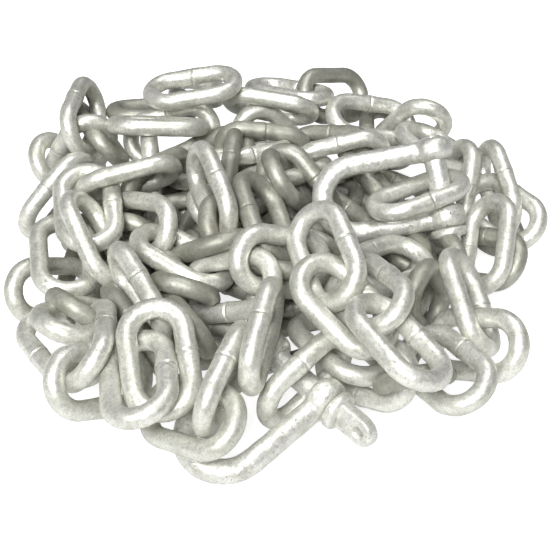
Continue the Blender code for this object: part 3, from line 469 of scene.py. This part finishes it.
# %% [markdown]
# ## Let the hidden run settle
# Laid by formula, the hidden links would pass through the seen ones. Wherever two balls overlap,
# the hidden link is pushed and turned away, while a weak pull holds it near its first place and a
# weaker one lets it sink. A rigid body simulation would do the same job, but tangled rings make
# it explode, and this slow relaxation always calms down.

# %% Settle the hidden links
ROUNDS = 90
CLEARANCE = 0.0005
BITE = 0.0008
SINK = 0.00006


def push(own, centre, others, sizes, growth):
    """How far one link moves and turns to come clear of the balls about it."""
    near = ((others - centre) ** 2).sum(axis=1) < 0.045 ** 2
    allowed = sizes[near] + WIRE / 2 * growth
    between = own[:, None] - others[near][None]
    apart = np.linalg.norm(between, axis=2)
    depth = allowed[None] - apart
    worst = depth.argmax(axis=1)
    rows = np.arange(len(own))
    hit = depth[rows, worst] > 0
    if not hit.any():
        return np.zeros(3), np.zeros(3)
    shove = depth[rows, worst][hit][:, None]
    away = between[rows, worst][hit] / apart[rows, worst][hit][:, None]
    share = 0.3 / max(1.2, hit.sum() ** 0.5)
    spin = np.cross(own[hit] - centre, away) * shove
    return (away * shove).sum(axis=0) * share, spin.sum(axis=0) * share / 0.019 ** 2


def settle(poses, fixed, fixed_sizes):
    centres = np.array([pose[0] for pose in poses])
    axes = np.array([pose[1] for pose in poses])
    homes = centres.copy()
    worlds = centres[:, None] + wire_line @ axes.transpose(0, 2, 1)
    low = np.append(seen_balls[:, :2].min(axis=0) + 0.002, WIRE / 2 + 0.0005)
    high = seen_balls.max(axis=0) - 0.002
    for turn in range(ROUNDS):
        growth = min(1.0, 0.3 + 1.4 * turn / ROUNDS)
        for index in range(len(poses)):
            own = worlds[index]
            loose = np.vstack((worlds[:index].reshape(-1, 3), worlds[index + 1:].reshape(-1, 3)))
            sizes = np.append(fixed_sizes * growth + CLEARANCE,
                              np.full(len(loose), WIRE / 2 * growth - BITE))
            move, spin = push(own, centres[index], np.vstack((fixed, loose)), sizes, growth)
            move += 0.004 * (homes[index] - centres[index]) - np.array((0, 0, SINK))
            move += np.maximum(low - own, 0).max(axis=0) - np.maximum(own - high, 0).max(axis=0)
            centres[index] += move
            angle = np.linalg.norm(spin)
            if angle > 1e-9:
                turned = Matrix.Rotation(min(angle, 0.1), 3, Vector(spin))
                axes[index] = np.array(turned) @ axes[index]
            worlds[index] = centres[index] + wire_line @ axes[index].T
    return list(zip(centres, axes)), worlds


def clear_of(worlds, balls, sizes):
    """Smallest gap between each link and a set of balls."""
    return np.array([(np.linalg.norm(own[:, None] - balls[None], axis=2) - sizes).min()
                     for own in worlds]) - WIRE / 2


obstacles = np.vstack((seen_balls, metal_balls))
obstacle_sizes = np.append(np.full(len(seen_balls), WIRE / 2), metal_sizes)
outer_run, outer_balls = settle(outer_run, obstacles, obstacle_sizes)
room = clear_of(outer_balls, metal_balls, metal_sizes) > 0.0003
outer_run = [pose for pose, free in zip(outer_run, room) if free]
obstacles = np.vstack((obstacles, outer_balls[room].reshape(-1, 3)))
obstacle_sizes = np.append(obstacle_sizes, np.full(room.sum() * BALLS, WIRE / 2))
inner_run = settle(inner_run, obstacles, obstacle_sizes)[0]


def lifted(centre, axes):
    """The pose raised until the link's lowest ball rests on the floor, if it lay lower."""
    lowest = (centre + wire_line @ axes.T)[:, 2].min()
    return centre + np.array((0.0, 0.0, max(0.0, WIRE / 2 + 0.0002 - lowest))), axes


hidden = [lifted(centre + step_to_middle, axes) for centre, axes in outer_run + inner_run]
gaps = clear_of(outer_balls[room], seen_balls, WIRE / 2)
print("hidden links kept", len(hidden), "still pressed against seen ones",
      int((gaps < -0.001).sum()), "worst", round(gaps.min() * 1000, 1), "mm")

# %% [markdown]
# ## Lay the copies
# Each copy gets its own mesh, moved to its pose, and its object stays at the origin. The zinc
# lies in slightly uneven thickness, so a fine displacement runs over every copy. It reads the
# place in the heap, so that no two links get the same bumps. An attribute says how dull the
# link is: among the seen links it varies at random, because the zinc of some links has weathered
# more, while the buried links get a higher level on average, which is painted shade for their
# place under the others.

# %% Place the links
rng = np.random.default_rng(7)
uneven = bpy.data.textures.new("uneven_zinc", "CLOUDS")
uneven.noise_scale = 0.006
uneven.noise_depth = 2


def lay_link(name, pose, dull):
    centre, axes = pose
    matrix = Matrix.Identity(4)
    for row in range(3):
        for column in range(3):
            matrix[row][column] = axes[row][column]
        matrix[row][3] = centre[row]
    mesh = master_link.data.copy()
    mesh.name = name
    mesh.transform(matrix)
    link = bpy.data.objects.new(name, mesh)
    bpy.context.scene.collection.objects.link(link)
    level = mesh.attributes.new("dull", "FLOAT", "POINT")
    level.data.foreach_set("value", np.full(len(mesh.vertices), dull))
    return link


def finish_metal(piece, strength):
    apply_modifier(piece, "zinc_lumps", "DISPLACE", texture=uneven, texture_coords="LOCAL",
                   strength=strength, mid_level=0.5)
    only(piece)
    bpy.ops.object.shade_smooth()


link_pieces = []
for name in link_nodes:
    centre, axes = link_poses[name]
    piece = lay_link("zinc_" + name, (centre, axes), float(np.clip(rng.normal(0.4, 0.2), 0, 1)))
    finish_metal(piece, 0.00035)
    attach(piece, "root")
    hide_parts(name)
    link_pieces.append(piece)
print("laid", len(link_pieces), "links of", len(link_pieces[0].data.polygons), "faces")


# %% [markdown]
# ## The buried run
# The links of the buried run are joined into three pieces, so that each stays light to handle.
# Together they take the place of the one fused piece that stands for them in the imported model.

# %% Place the hidden links
def join_as(name, parts):
    bpy.ops.object.select_all(action="DESELECT")
    for part in parts:
        part.select_set(True)
    bpy.context.view_layer.objects.active = parts[0]
    bpy.ops.object.join()
    return named(name)


buried_pieces = []
shares = 3
for share in range(shares):
    # The buried links get a higher dullness than the seen ones: painted shade for where they lie.
    group = [lay_link(f"buried_{index:02d}", hidden[index],
                      float(np.clip(rng.normal(0.6, 0.2), 0, 1)))
             for index in range(share, len(hidden), shares)]
    piece = join_as(f"buried_run_{share + 1}", group)
    finish_metal(piece, 0.00035)
    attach(piece, "root")
    buried_pieces.append(piece)
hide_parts("buried_core")
print("buried pieces", [len(piece.data.polygons) for piece in buried_pieces])

# %% [markdown]
# ## The shackle's bow
# A shackle is forged from round bar: bent over a former into a bow, then its ends are flattened
# into eyes. The bow is half a torus whose two open ends are extruded down the arms. The eyes are
# bevelled cylinders, and a fine remesh followed by smoothing melts them into the arms the way a
# forging flows.

# %% Model the bow


def cylinder(name, diameter, depth, place, turn, sides, edge):
    bpy.ops.object.select_all(action="DESELECT")
    bpy.ops.mesh.primitive_cylinder_add(vertices=sides, radius=diameter / 2, depth=depth,
                                        location=place, rotation=turn)
    thing = named(name)
    bpy.ops.object.transform_apply(location=True, rotation=True, scale=True)
    if edge:
        bpy.ops.object.mode_set(mode="EDIT")
        ends = lambda middle, part: len(part.link_faces) == 2 and \
            max(len(face.verts) for face in part.link_faces) > 4
        pick(thing, "edges", ends)
        bpy.ops.mesh.bevel(offset=edge, segments=6, profile=0.5)
        bpy.ops.object.mode_set(mode="OBJECT")
    return thing


def model_bow():
    bpy.ops.object.select_all(action="DESELECT")
    bpy.ops.mesh.primitive_torus_add(major_segments=56, minor_segments=28,
                                     major_radius=SHACKLE_SPACING / 2,
                                     minor_radius=SHACKLE_BODY / 2, generate_uvs=False)
    bow = named("bow")
    bpy.ops.object.mode_set(mode="EDIT")
    pick(bow, "faces", lambda middle, face: middle.x > 0)
    bpy.ops.mesh.delete(type="FACE")
    bpy.ops.mesh.select_all(action="SELECT")
    bpy.ops.transform.translate(value=(CROWN_X, 0, 0))
    pick(bow, "edges", lambda middle, edge: edge.is_boundary)
    bpy.ops.mesh.extrude_region_move(TRANSFORM_OT_translate={"value": (PIN_X - CROWN_X, 0, 0)})
    bpy.ops.mesh.select_all(action="SELECT")
    bpy.ops.mesh.fill_holes(sides=0)
    bpy.ops.mesh.select_all(action="SELECT")
    bpy.ops.mesh.normals_make_consistent(inside=False)
    bpy.ops.object.mode_set(mode="OBJECT")
    eyes = [cylinder("eye", EYE_DIAMETER, EYE_WIDTH, (PIN_X, side * SHACKLE_SPACING / 2, 0),
                     (math.pi / 2, 0, 0), 48, 0.0050) for side in (1, -1)]
    bow = join_as("master_bow", [bow] + eyes)
    apply_modifier(bow, "one_skin", "REMESH", mode="VOXEL", voxel_size=0.0006)
    apply_modifier(bow, "forged_flow", "SMOOTH", factor=0.5, iterations=8)
    bore = cylinder("bore", PIN_DIAMETER + 0.0006, SHACKLE_SPACING * 2, (PIN_X, 0, 0),
                    (math.pi / 2, 0, 0), 48, 0)
    apply_modifier(bow, "pin_holes", "BOOLEAN", operation="DIFFERENCE", object=bore,
                   solver="EXACT")
    bpy.data.objects.remove(bore)
    return bow


master_bow = model_bow()
print("bow", len(master_bow.data.polygons), "faces",
      [round(v * 1000, 1) for v in master_bow.dimensions], "mm")

# %% [markdown]
# ## The shackle's pin
# The pin screws through both eyes. Its head is a round collar with a flat drilled lug, which a
# spike or a piece of wire goes through to turn it and keep it from turning back.

# %% Model the pin
FACE_Y = SHACKLE_SPACING / 2 + EYE_WIDTH / 2
LUG_TURN = math.radians(75)
PIN_CLEAR = 0.0003


def model_pin():
    start = -FACE_Y - 0.001
    collar_y = FACE_Y + PIN_CLEAR + COLLAR_THICKNESS / 2
    shaft = cylinder("shaft", PIN_DIAMETER, collar_y - start, (PIN_X, (start + collar_y) / 2, 0),
                     (math.pi / 2, 0, 0), 40, 0.0008)
    collar = cylinder("collar", COLLAR_DIAMETER, COLLAR_THICKNESS, (PIN_X, collar_y, 0),
                      (math.pi / 2, 0, 0), 56, 0.0018)
    bpy.ops.object.select_all(action="DESELECT")
    bpy.ops.mesh.primitive_cube_add(size=1, location=(PIN_X, collar_y + LUG_LENGTH / 2, 0),
                                    scale=(LUG_WIDTH, LUG_LENGTH, LUG_THICKNESS))
    lug = named("lug")
    bpy.ops.object.transform_apply(location=True, rotation=True, scale=True)
    bpy.ops.object.mode_set(mode="EDIT")
    bpy.ops.mesh.select_all(action="SELECT")
    bpy.ops.mesh.bevel(offset=0.0012, segments=3)
    bpy.ops.object.mode_set(mode="OBJECT")
    tip = cylinder("tip", LUG_WIDTH, LUG_THICKNESS, (PIN_X, collar_y + LUG_LENGTH, 0),
                   (0, 0, 0), 48, 0.0012)
    pin = join_as("master_pin", [shaft, collar, lug, tip])
    apply_modifier(pin, "one_skin", "REMESH", mode="VOXEL", voxel_size=0.0005)
    apply_modifier(pin, "forged_flow", "SMOOTH", factor=0.5, iterations=4)
    hole = cylinder("hole", LUG_HOLE, 0.02, (PIN_X, collar_y + LUG_LENGTH, 0), (0, 0, 0), 32, 0)
    apply_modifier(pin, "lug_hole", "BOOLEAN", operation="DIFFERENCE", object=hole,
                   solver="EXACT")
    bpy.data.objects.remove(hole)
    about_pin = Matrix.Translation((PIN_X, 0, 0)) @ Matrix.Rotation(LUG_TURN, 4, "Y") @ \
        Matrix.Translation((-PIN_X, 0, 0))
    pin.data.transform(about_pin)
    return pin


master_pin = model_pin()
print("pin", len(master_pin.data.polygons), "faces",
      [round(v * 1000, 1) for v in master_pin.dimensions], "mm")


# %% [markdown]
# ## Place the shackles
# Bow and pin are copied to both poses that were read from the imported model.

# %% Place the shackles
def place_copy(name, master, pose):
    centre, axes = pose
    matrix = Matrix([list(axes[row]) + [centre[row]] for row in range(3)] + [[0, 0, 0, 1]])
    mesh = master.data.copy()
    mesh.transform(matrix)
    copy = bpy.data.objects.new(name, mesh)
    mesh.name = name
    bpy.context.scene.collection.objects.link(copy)
    finish_metal(copy, 0.0005)
    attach(copy, "root")
    return copy


shackle_pieces = []
for name in ("shackle_1", "shackle_2"):
    pose = shackle_poses[name]
    for part, master in (("_bow", master_bow), ("_pin", master_pin)):
        piece = place_copy("zinc_" + name + part, master, pose)
        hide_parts(name + part)
        shackle_pieces.append(piece)
for master in (master_link, master_bow, master_pin):
    bpy.data.objects.remove(master)
print("shackle pieces", [piece.name for piece in shackle_pieces])


# %% [markdown]
# ## Zinc
# Hot-dip zinc is a bright metal under a dull skin. It has broad patches that differ a little in
# tone, fine grey mottling, small pits and runs, and a faint warm grey bloom where it weathers.
# The skin is one node group, so that the links, the buried run and the shackles share it and
# differ only in their values. The buried run's values are darker, duller and grimier: painted
# shade for links that lie under the others.

# %% Node helpers
def node(tree, kind, **values):
    made = tree.nodes.new(kind)
    for key, value in values.items():
        if hasattr(made, key):
            setattr(made, key, value)
        else:
            made.inputs[key.replace("_", " ")].default_value = value
    return made


def mix_colour(tree, factor, first, second, mode="MIX"):
    made = tree.nodes.new("ShaderNodeMix")
    made.data_type = "RGBA"
    made.blend_type = mode
    sockets = {"Factor": factor, "A": first, "B": second}
    for socket in made.inputs:
        value = sockets.get(socket.name)
        if value is None or not socket.enabled:
            continue
        if isinstance(value, bpy.types.NodeSocket):
            tree.links.new(value, socket)
        else:
            socket.default_value = value
    return [socket for socket in made.outputs if socket.enabled][0]


def calculate(tree, operation, *values):
    made = tree.nodes.new("ShaderNodeMath")
    made.operation = operation
    for socket, value in zip(made.inputs, values):
        if isinstance(value, bpy.types.NodeSocket):
            tree.links.new(value, socket)
        else:
            socket.default_value = value
    return made.outputs[0]


def spread(tree, value, low, high, new_low=0.0, new_high=1.0):
    made = tree.nodes.new("ShaderNodeMapRange")
    made.interpolation_type = "SMOOTHSTEP"
    tree.links.new(value, made.inputs["Value"])
    made.inputs["From Min"].default_value = low
    made.inputs["From Max"].default_value = high
    made.inputs["To Min"].default_value = new_low
    made.inputs["To Max"].default_value = new_high
    return made.outputs["Result"]


def noise(tree, place, scale, detail, rough=0.5, stretch=None):
    if stretch:
        mapping = tree.nodes.new("ShaderNodeMapping")
        mapping.inputs["Scale"].default_value = stretch
        tree.links.new(place, mapping.inputs["Vector"])
        place = mapping.outputs["Vector"]
    made = tree.nodes.new("ShaderNodeTexNoise")
    made.inputs["Scale"].default_value = scale
    made.inputs["Detail"].default_value = detail
    made.inputs["Roughness"].default_value = rough
    tree.links.new(place, made.inputs["Vector"])
    return made.outputs["Fac"]


print("node helpers ready")

# %% [markdown]
# The group puts out a colour, a roughness and a height. Large soft noise makes the patches, a
# finer one the mottling, and thresholded noise the pits. The dark seam of the weld and each
# link's dullness come from the attributes that the meshes carry; for the buried links the
# dullness also carries painted shade.


# %% Build the zinc skin group
def zinc_group():
    group = bpy.data.node_groups.new("zinc_skin", "ShaderNodeTree")
    face = group.interface
    for name, kind in (("Bright", "NodeSocketColor"), ("Dull", "NodeSocketColor"),
                       ("Grime", "NodeSocketFloat"), ("Gloss", "NodeSocketFloat"),
                       ("Pits", "NodeSocketFloat")):
        face.new_socket(name, in_out="INPUT", socket_type=kind)
    for name, kind in (("Colour", "NodeSocketColor"), ("Roughness", "NodeSocketFloat"),
                       ("Height", "NodeSocketFloat")):
        face.new_socket(name, in_out="OUTPUT", socket_type=kind)
    inlet = group.nodes.new("NodeGroupInput")
    outlet = group.nodes.new("NodeGroupOutput")
    place = group.nodes.new("ShaderNodeTexCoord").outputs["Object"]
    dull = node(group, "ShaderNodeAttribute", attribute_name="dull").outputs["Fac"]
    weld = node(group, "ShaderNodeAttribute", attribute_name="weld").outputs["Fac"]

    patches = noise(group, place, 70, 3, 0.55)
    mottle = noise(group, place, 520, 5, 0.68)
    grain = noise(group, place, 1300, 3, 0.65)
    pits = noise(group, place, 760, 3, 0.6)
    share = calculate(group, "ADD", calculate(group, "MULTIPLY", dull, 0.5),
                      spread(group, patches, 0.38, 0.66, -0.1, 0.5))
    colour = mix_colour(group, share, inlet.outputs["Bright"], inlet.outputs["Dull"])
    speck = spread(group, mottle, 0.36, 0.60, 0.86, 1.03)
    colour = mix_colour(group, 1.0, colour, speck, "MULTIPLY")
    fine = spread(group, grain, 0.32, 0.62, 0.84, 1.05)
    colour = mix_colour(group, 1.0, colour, fine, "MULTIPLY")
    seam = calculate(group, "MULTIPLY", spread(group, weld, 0.93, 0.995),
                     spread(group, mottle, 0.42, 0.56, 0.05, 0.6))
    colour = mix_colour(group, seam, colour, (0.12, 0.115, 0.095, 1))
    pit = calculate(group, "MULTIPLY", spread(group, pits, 0.62, 0.69), inlet.outputs["Pits"])
    colour = mix_colour(group, calculate(group, "MULTIPLY", pit, 0.7), colour,
                        (0.14, 0.13, 0.10, 1))
    dirt = spread(group, noise(group, place, 110, 4, 0.6), 0.5, 0.7)
    dirt = calculate(group, "MULTIPLY", dirt, inlet.outputs["Grime"])
    colour = mix_colour(group, dirt, colour, (0.30, 0.285, 0.22, 1))
    group.links.new(colour, outlet.inputs["Colour"])

    rough = calculate(group, "ADD", inlet.outputs["Gloss"],
                      spread(group, mottle, 0.3, 0.7, -0.07, 0.1))
    rough = calculate(group, "ADD", rough, calculate(group, "MULTIPLY", share, 0.12))
    group.links.new(rough, outlet.inputs["Roughness"])

    height = calculate(group, "ADD", calculate(group, "MULTIPLY", mottle, 0.7),
                       calculate(group, "MULTIPLY", grain, 0.25))
    height = calculate(group, "SUBTRACT", height, calculate(group, "MULTIPLY", pit, 0.8))
    group.links.new(height, outlet.inputs["Height"])
    return group


zinc_skin = zinc_group()
print("zinc skin sockets", [item.name for item in zinc_skin.interface.items_tree])


# %% Make the three finishes
def zinc_material(name, bright, dull, grime, gloss, pits, metallic, bump):
    material = bpy.data.materials.new(name)
    material.use_nodes = True
    tree = material.node_tree
    shader = tree.nodes["Principled BSDF"]
    skin = tree.nodes.new("ShaderNodeGroup")
    skin.node_tree = zinc_skin
    for key, value in (("Bright", bright), ("Dull", dull), ("Grime", grime), ("Gloss", gloss),
                       ("Pits", pits)):
        skin.inputs[key].default_value = value
    tree.links.new(skin.outputs["Colour"], shader.inputs["Base Color"])
    tree.links.new(skin.outputs["Roughness"], shader.inputs["Roughness"])
    shader.inputs["Metallic"].default_value = metallic
    lump = tree.nodes.new("ShaderNodeBump")
    lump.inputs["Distance"].default_value = bump
    lump.inputs["Strength"].default_value = 0.6
    tree.links.new(skin.outputs["Height"], lump.inputs["Height"])
    tree.links.new(lump.outputs["Normal"], shader.inputs["Normal"])
    return material


link_zinc = zinc_material("galvanised_link_zinc", (0.84, 0.84, 0.775, 1), (0.56, 0.565, 0.495, 1),
                          0.30, 0.36, 0.6, 0.62, 0.0004)
# Painted shade: the buried run is the same zinc with darker colours, more dullness and more grime,
# standing in for the shadow under the seen links.
shaded_buried_zinc = zinc_material("dull_buried_zinc", (0.50, 0.50, 0.44, 1), (0.30, 0.30, 0.25, 1),
                            0.5, 0.44, 0.6, 0.6, 0.0004)
shackle_zinc = zinc_material("galvanised_forging_zinc", (0.84, 0.84, 0.79, 1),
                             (0.58, 0.58, 0.52, 1), 0.3, 0.36, 1.0, 0.62, 0.0006)


def give(pieces, material):
    for piece in pieces:
        piece.data.materials.clear()
        piece.data.materials.append(material)


give(link_pieces, link_zinc)
give(buried_pieces, shaded_buried_zinc)
give(shackle_pieces, shackle_zinc)
print("materials", [material.name for material in (link_zinc, shaded_buried_zinc, shackle_zinc)])

# %% [markdown]
# ## The studio
# The heap was photographed on white, with broad light from in front and almost no shadow on the
# floor, while the recesses between the bars stay dark. So the camera sees a glowing white floor
# and a pale backdrop, but the zinc gets little light from either. One broad lamp in front, high
# up, gives the bars the wide soft highlight along their middles, and a weaker one behind lights
# their upper edges. A white dome of light alone would fill the recesses and flatten the heap.

# %% Floor, sky and lamps
bpy.ops.object.select_all(action="DESELECT")
bpy.ops.mesh.primitive_plane_add(size=12, location=(0, 0, -0.0002))
floor = named("floor")
bpy.ops.object.transform_apply(location=True, rotation=True, scale=True)
floor_material = bpy.data.materials.new("white_floor")
floor_material.use_nodes = True
floor_shader = floor_material.node_tree.nodes["Principled BSDF"]
floor_shader.inputs["Base Color"].default_value = (0.55, 0.55, 0.55, 1)
floor_shader.inputs["Emission Color"].default_value = (1, 1, 1, 1)
FLOOR_SEEN = 0.8
FLOOR_BOUNCE = 0.25
floor_tree = floor_material.node_tree
seen = floor_tree.nodes.new("ShaderNodeLightPath").outputs["Is Camera Ray"]
glow = spread(floor_tree, seen, 0.0, 1.0, FLOOR_BOUNCE, FLOOR_SEEN)
floor_tree.links.new(glow, floor_shader.inputs["Emission Strength"])
floor_shader.inputs["Roughness"].default_value = 0.9
floor_shader.inputs["Specular IOR Level"].default_value = 0.1
floor.data.materials.append(floor_material)

world = bpy.data.worlds.new("studio")
bpy.context.scene.world = world
world.use_nodes = True
BACKDROP = 0.9
SKY_LOW = 0.018
SKY_HIGH = 0.04
sky = world.node_tree
background = sky.nodes["Background"]
background.inputs["Color"].default_value = (1, 1, 1, 1)
direction = sky.nodes.new("ShaderNodeSeparateXYZ")
sky.links.new(sky.nodes.new("ShaderNodeTexCoord").outputs["Generated"], direction.inputs[0])
fill = spread(sky, direction.outputs["Z"], -0.1, 0.9, SKY_LOW, SKY_HIGH)
seen = sky.nodes.new("ShaderNodeLightPath").outputs["Is Camera Ray"]
backdrop = calculate(sky, "MULTIPLY", seen, BACKDROP)
sky.links.new(calculate(sky, "MAXIMUM", fill, backdrop), background.inputs["Strength"])


def lamp(name, place, size, power):
    data = bpy.data.lights.new(name, "AREA")
    data.shape = "DISK"
    data.size = size
    data.energy = power
    thing = bpy.data.objects.new(name, data)
    bpy.context.scene.collection.objects.link(thing)
    thing.location = place
    thing.rotation_mode = "QUATERNION"
    thing.rotation_quaternion = Vector(place).to_track_quat("Z", "Y")
    return thing


lamp("front_lamp", (-0.55, -1.80, 1.90), 1.1, 95)
lamp("top_lamp", (0.20, 0.30, 1.80), 0.9, 14)
bpy.context.scene.view_settings.view_transform = "Standard"
